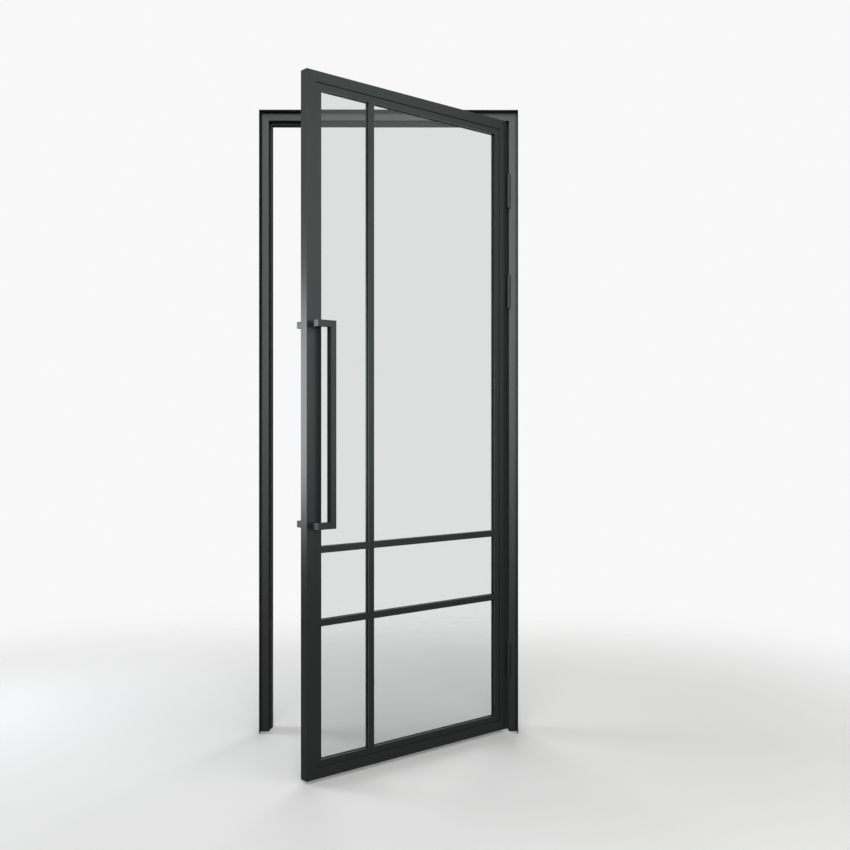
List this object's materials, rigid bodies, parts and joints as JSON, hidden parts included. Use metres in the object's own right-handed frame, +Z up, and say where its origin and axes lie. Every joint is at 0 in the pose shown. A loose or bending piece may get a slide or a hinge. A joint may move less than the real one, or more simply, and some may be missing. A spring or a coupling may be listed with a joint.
{
  "type": "glass door",
  "caption": "Glazed hinged door leaf in a slim mitred metal frame, with upright and cross glazing bars, barrel hinges and a long square pull handle on each face.",
  "frame": {"origin": "on the finished floor in the middle of the doorway, level with the frame's front face", "axes": "+X across the doorway towards the hinge jamb, +Y from the pull side to the room behind, +Z up"},
  "size_m": [0.896, 0.6244, 2.157],
  "materials": {
    "frame_coating": "satin powder coating, anthracite",
    "leaf_coating": "satin powder coating, anthracite",
    "handle_coating": "satin powder coating, anthracite",
    "hinge_coating": "satin painted steel",
    "glass": "clear polished float glass",
    "gasket_rubber": "matt black rubber",
    "seal_rubber": "matt dark grey rubber",
    "bonding_tape": "black foam tape",
    "block_plastic": "matt hard plastic",
    "cleat_metal": "mill finish",
    "steel": "zinc plated steel",
    "pin_steel": "ground steel",
    "washer_plastic": "black acetal"
  },
  "bodies": {
    "frame": {"frame_hinge_jamb": "frame_coating", "frame_lock_jamb": "frame_coating", "frame_head": "frame_coating", "frame_corner_cleats": "cleat_metal", "door_seal_hinge_side": "seal_rubber", "door_seal_lock_side": "seal_rubber", "door_seal_head": "seal_rubber", "frame_backing_plates": "steel", "hinge_frame_screws": "steel", "hinge_pins": "pin_steel", "hinge_washers": "washer_plastic", "hinge_top_frame_half": "hinge_coating", "hinge_middle_frame_half": "hinge_coating", "hinge_bottom_frame_half": "hinge_coating"},
    "leaf": {"leaf_hinge_stile": "leaf_coating", "leaf_lock_stile": "leaf_coating", "leaf_top_rail": "leaf_coating", "leaf_bottom_rail": "leaf_coating", "leaf_corner_cleats": "cleat_metal", "glass_pane": "glass", "glazing_gasket_front": "gasket_rubber", "glazing_gasket_back": "gasket_rubber", "setting_blocks": "block_plastic", "leaf_backing_plates": "steel", "hinge_leaf_screws": "steel", "handle_studs": "steel", "handle_sleeves": "steel", "handle_grub_screws": "steel", "glazing_bead_hinge_stile": "leaf_coating", "glazing_bead_lock_stile": "leaf_coating", "glazing_bead_top_rail": "leaf_coating", "glazing_bead_bottom_rail": "leaf_coating", "upright_bar_front": "leaf_coating", "upper_cross_bar_lock_side_front": "leaf_coating", "upper_cross_bar_hinge_side_front": "leaf_coating", "lower_cross_bar_lock_side_front": "leaf_coating", "lower_cross_bar_hinge_side_front": "leaf_coating", "pull_handle_front": "handle_coating", "handle_standoffs_front": "handle_coating", "bar_tapes_front": "bonding_tape", "upright_bar_back": "leaf_coating", "upper_cross_bar_lock_side_back": "leaf_coating", "upper_cross_bar_hinge_side_back": "leaf_coating", "lower_cross_bar_lock_side_back": "leaf_coating", "lower_cross_bar_hinge_side_back": "leaf_coating", "pull_handle_back": "handle_coating", "handle_standoffs_back": "handle_coating", "bar_tapes_back": "bonding_tape", "hinge_top_leaf_half": "hinge_coating", "hinge_middle_leaf_half": "hinge_coating", "hinge_bottom_leaf_half": "hinge_coating"}
  },
  "joints": [
    {"name": "leaf_swing", "type": "hinge", "parent": "frame", "child": "leaf", "pos_m": [0.4165, -0.0085, 0], "axis": [0, 0, 1], "range_deg": [-40, 70]}
  ]
}
